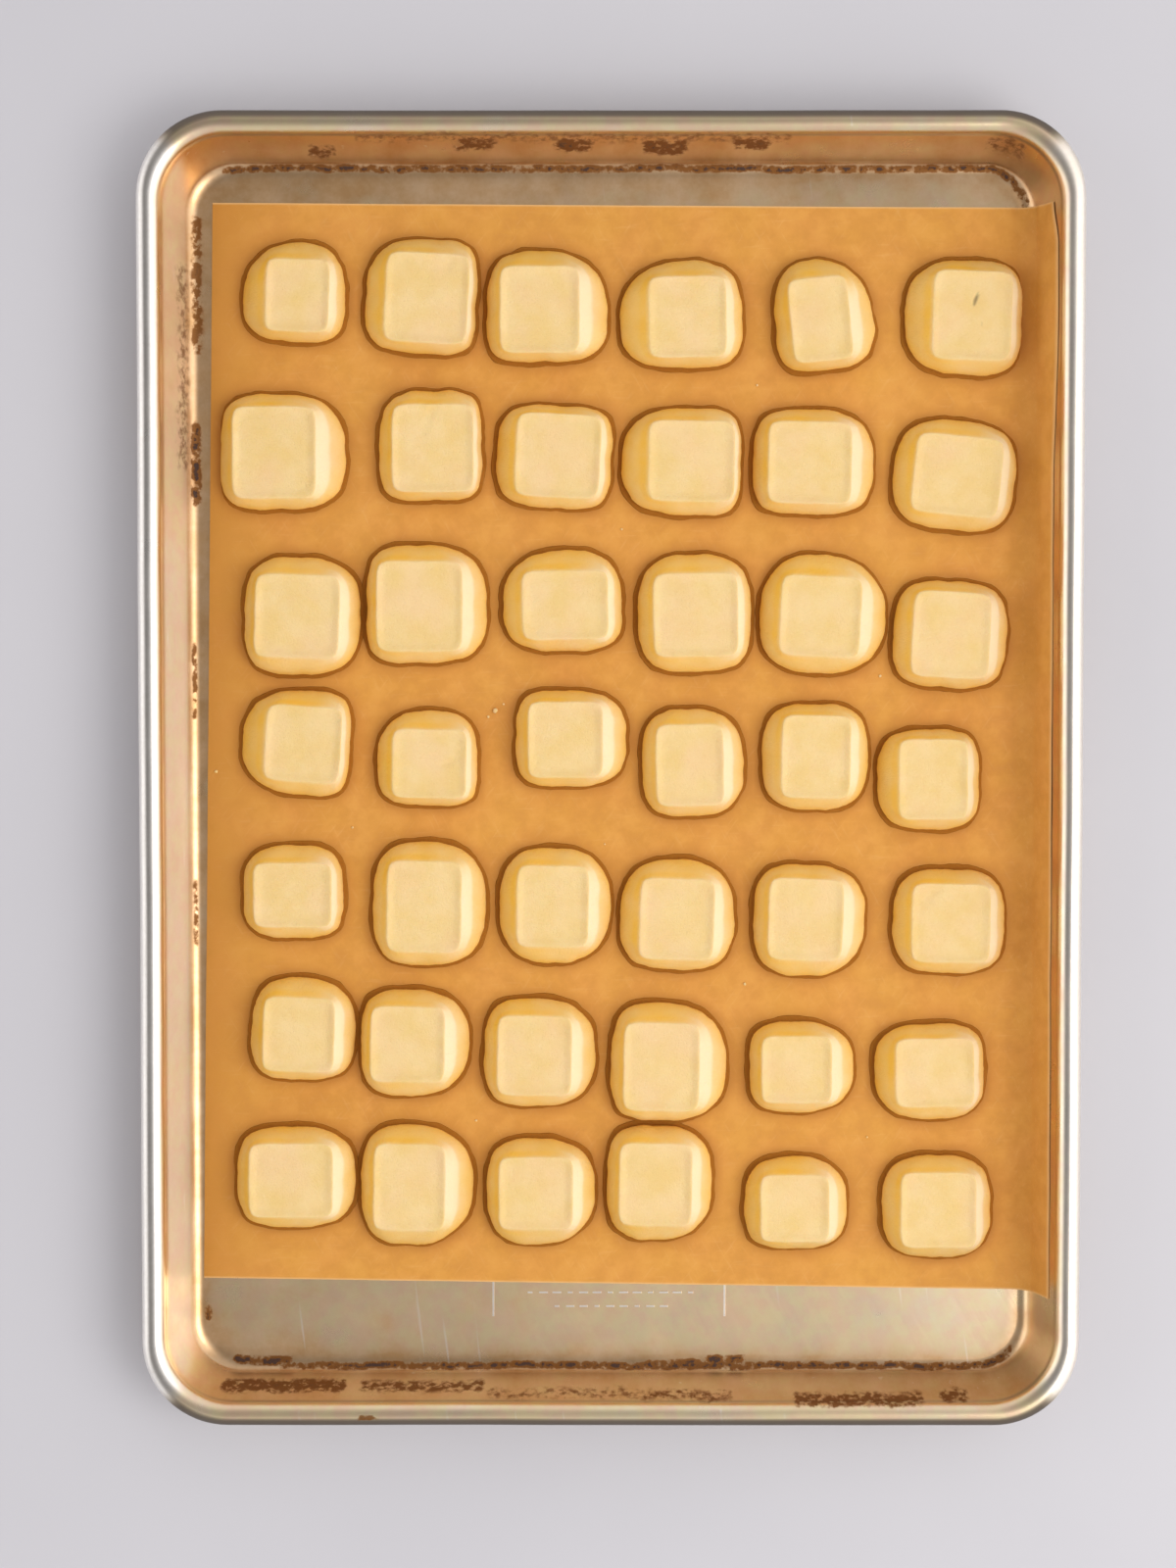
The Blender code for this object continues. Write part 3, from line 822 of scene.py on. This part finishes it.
def top_rings(top, centre):
    """Rings over the pressed top, each a shrunken copy of its edge, that dip a little inside the edge."""
    half = np.linalg.norm(top - centre, axis=1).min()
    insets = [0.0, 0.0004, 0.0009, 0.0016, 0.0024, 0.0034]
    insets += [insets[-1] + (half - insets[-1]) * k / 9 for k in range(1, 9)]
    rings = []
    for inset in insets:
        ring = centre + (top - centre) * (1 - inset / half)
        ring[:, 2] = top[:, 2] - LIP_FALL * smoothstep(inset / LIP_WIDTH)
        rings.append(ring)
    return rings


def mark_at(name, x, y):
    """(depth, darkness) of a biscuit's own marks at a place given from the biscuit's middle."""
    depth = dark = 0.0
    spot = Vector((x / MM, y / MM))
    for x1, y1, x2, y2, half_width, deep, darkness in MARKS.get(name, ()):
        start, end = Vector((x1, y1)), Vector((x2, y2))
        run = end - start
        share = min(max((spot - start).dot(run) / run.length_squared, 0), 1)
        distance = (spot - start - run * share).length
        fade = 1 - smoothstep(distance / (1.6 * half_width))
        depth = max(depth, deep * MM * fade)
        dark = max(dark, darkness * fade)
    return depth, dark


def toward_shade(x, y):
    """How far an outward direction points to the left and back, where the biscuits browned more and carry
    painted shade.
    """
    return smoothstep(0.5 - 0.5 * x + 0.32 * y)


def gold_shade_and_highlight_at(share, outward):
    """How golden a side is: more so towards its foot and just under the top's edge, and on the left and back,
    where the gold is partly painted shade.

    It is below zero on the right, where the side is painted paler than the top as a highlight.
    """
    shaded = toward_shade(outward.x, outward.y)
    under_edge = smoothstep(share / 0.06) * smoothstep((0.34 - share) / 0.20)
    # Painted highlight on the right side, below the top's edge.
    pale = smoothstep(outward.x * 2 - 0.8) * smoothstep(share / 0.05) * smoothstep((0.42 - share) / 0.16)
    front = 0.12 * smoothstep(-outward.y)
    body = smoothstep(share / 0.14) * (0.70 * shaded + (0.28 + front) * (1 - shaded))
    foot = smoothstep((share - 0.40) / 0.35) * 0.35 * (1 - 0.5 * shaded)
    return (body + foot) * (1 - pale) + 0.28 * shaded * under_edge - 0.5 * pale


def build_biscuit(name, material):
    outlines, centre = cad_outlines(name)
    low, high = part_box(name)
    middle = (low + high) / 2
    base, widest, shoulder = (fine_outline(outline) for outline in outlines[:3])
    top = fine_outline(outlines[3], EDGE_TENSION)
    rings = side_rings(base, widest, shoulder, top)
    rings += [(ring, 0.0, 0.0) for ring in top_rings(top, centre)]
    vertices, gold_shade_and_highlight, foot_and_painted_shade, mark = [], [], [], []
    for ring, share, foot in rings:
        for x, y, z in ring:
            outward = Vector((x - centre[0], y - centre[1]))
            outward.normalize()
            wobble = SIDE_WOBBLE[0] * fractal((x * 150, y * 150, z * 30), 2)
            wobble += SIDE_WOBBLE[1] * fractal((x * 700, y * 700, z * 500), 2)
            wobble *= 0.35 + 0.65 * smoothstep(share * 2) if share else 0.3
            grain = TOP_GRAIN[0] * fractal((x * 420, y * 420, 4.4), 3)
            grain += TOP_GRAIN[1] * fractal((x * 95, y * 95, 7.9), 2)
            depth, dark = mark_at(name, x - middle.x, y - middle.y) if share < 0.2 else (0, 0)
            lift = 0 if foot > 0.8 else grain - depth
            if share:
                lift *= 0.5
            vertices.append((x + outward.x * wobble, y + outward.y * wobble, z + min(lift, 0.0001)))
            gold_shade_and_highlight.append(gold_shade_and_highlight_at(share, outward) if share else 0)
            # The foot is painted darker on the left and back, as shade.
            foot_and_painted_shade.append(foot * (0.86 + 0.14 * toward_shade(outward.x, outward.y)))
            mark.append(dark)
    count = len(base)
    faces = ring_faces(len(rings), count, first_cap=True)
    last = (len(rings) - 1) * count
    centre_vertex = len(vertices)
    inner = np.mean(vertices[last:], axis=0)
    vertices.append(tuple(inner))
    gold_shade_and_highlight.append(0)
    foot_and_painted_shade.append(0)
    mark.append(mark_at(name, inner[0] - middle.x, inner[1] - middle.y)[1])
    faces += [(last + i, last + (i + 1) % count, centre_vertex) for i in range(count)]
    piece = new_piece(name + "_baked", vertices, faces, material)
    for attribute, values in (("gold_shade_and_highlight", gold_shade_and_highlight), ("foot", foot_and_painted_shade), ("mark", mark)):
        set_attribute(piece, attribute, values)
    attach(piece, "root")
    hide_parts(name)


def build_crumbs(material):
    """A few loose crumbs on the parchment, by their place and size in millimetres."""
    places = ((-41, 21.7, 0.9), (-43.5, 19.5, 0.5), (-38, 24, 0.4), (96, 34, 0.5), (-92, -20, 0.4))
    places += ((48, -76, 0.5), (4, 86, 0.4), (-140.5, 0, 0.6), (52, 137, 0.4), (-48, -125, 0.45))
    places += ((92, -131, 0.4), (-2, -26, 0.35))
    work = bmesh.new()
    for x, y, radius in places:
        made = bmesh.ops.create_icosphere(work, subdivisions=2, radius=radius * MM)["verts"]
        for vertex in made:
            vertex.co *= 1 + 0.35 * fractal(vertex.co * 1600 + Vector((x, y, 0)), 2)
            vertex.co.z *= 0.75
            vertex.co += Vector((x * MM, y * MM, PAPER_BASE + PAPER + 0.00008 + 0.6 * radius * MM))
    data = bpy.data.meshes.new("crumbs")
    work.to_mesh(data)
    work.free()
    data.shade_smooth()
    data.materials.append(material)
    crumbs = bpy.data.objects.new("crumbs", data)
    bpy.context.scene.collection.objects.link(crumbs)
    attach(crumbs, "root")


# ---------------------------------------------------------------------------------------------
# Floor, light and camera


def build_floor():
    """A wide plain square just under the tray."""
    reach, level = 3.0, -0.0004
    signs = ((-1, -1), (1, -1), (1, 1), (-1, 1))
    data = bpy.data.meshes.new("floor")
    data.from_pydata([(reach * x, reach * y, level) for x, y in signs], [], [(0, 1, 2, 3)])
    data.materials.append(plain_floor())
    floor = bpy.data.objects.new("floor", data)
    bpy.context.scene.collection.objects.link(floor)


def add_softbox(name, place, target, size, power, colour):
    data = bpy.data.lights.new(name, "AREA")
    data.shape = "SQUARE"
    data.size = size
    data.energy = power
    data.color = colour
    light = bpy.data.objects.new(name, data)
    light.location = place
    light.rotation_euler = (Vector(target) - Vector(place)).to_track_quat("-Z", "Y").to_euler()
    bpy.context.scene.collection.objects.link(light)


def light_room():
    """A pale room, dimmer overhead and brighter low down on both sides, and a window to the right."""
    world = bpy.data.worlds.new("room")
    bpy.context.scene.world = world
    world.use_nodes = True
    nodes, links = world.node_tree.nodes, world.node_tree.links
    background = nodes["Background"]
    direction = nodes.new("ShaderNodeTexCoord").outputs["Generated"]
    # A zone has its middle's direction, the cosines from the middle between which it fades in, and a colour.
    zones = (
        ((-0.50, 0.06, 0.86), 0.48, 0.96, (0.335, 0.325, 0.315, 1)),
        ((0.90, -0.18, 0.40), 0.45, 0.95, (1.50, 1.47, 1.43, 1)),
        ((-0.96, 0.05, 0.28), 0.83, 0.98, (1.80, 1.76, 1.73, 1)),
    )
    shade = (1.07, 1.045, 1.04, 1)
    for axis, low, high, colour in zones:
        dot = nodes.new("ShaderNodeVectorMath")
        dot.operation = "DOT_PRODUCT"
        links.new(direction, dot.inputs[0])
        dot.inputs[1].default_value = axis
        ramp = nodes.new("ShaderNodeMapRange")
        ramp.interpolation_type = "SMOOTHSTEP"
        links.new(dot.outputs["Value"], ramp.inputs["Value"])
        ramp.inputs["From Min"].default_value = low
        ramp.inputs["From Max"].default_value = high
        mix = nodes.new("ShaderNodeMix")
        mix.data_type = "RGBA"
        links.new(ramp.outputs["Result"], mix.inputs["Factor"])
        if isinstance(shade, tuple):
            mix.inputs[6].default_value = shade
        else:
            links.new(shade, mix.inputs[6])
        mix.inputs[7].default_value = colour
        shade = mix.outputs[2]
    links.new(shade, background.inputs["Color"])
    background.inputs["Strength"].default_value = 1.0
    add_softbox("window_light", (0.75, -0.285, 1.01), (0, 0, 0), 0.71, 5.4, (1.0, 0.97, 0.92))


def place_camera():
    data = bpy.data.cameras.new("camera")
    data.sensor_width = 36
    data.lens = 65.9
    camera = bpy.data.objects.new("camera", data)
    camera.location = (-0.008, 0.0348, 1.0243)
    camera.rotation_euler = (math.radians(-2.2), 0, 0)
    bpy.context.scene.collection.objects.link(camera)
    bpy.context.scene.camera = camera


metal = aluminium()
dough = shortbread()
build_tray(metal)
build_stamp(metal)
build_parchment(parchment_paper())
for node in sorted(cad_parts):
    if node.startswith("biscuit_"):
        build_biscuit(node, dough)
build_crumbs(dough)
build_floor()
light_room()
place_camera()
bpy.context.scene.view_settings.view_transform = "Standard"
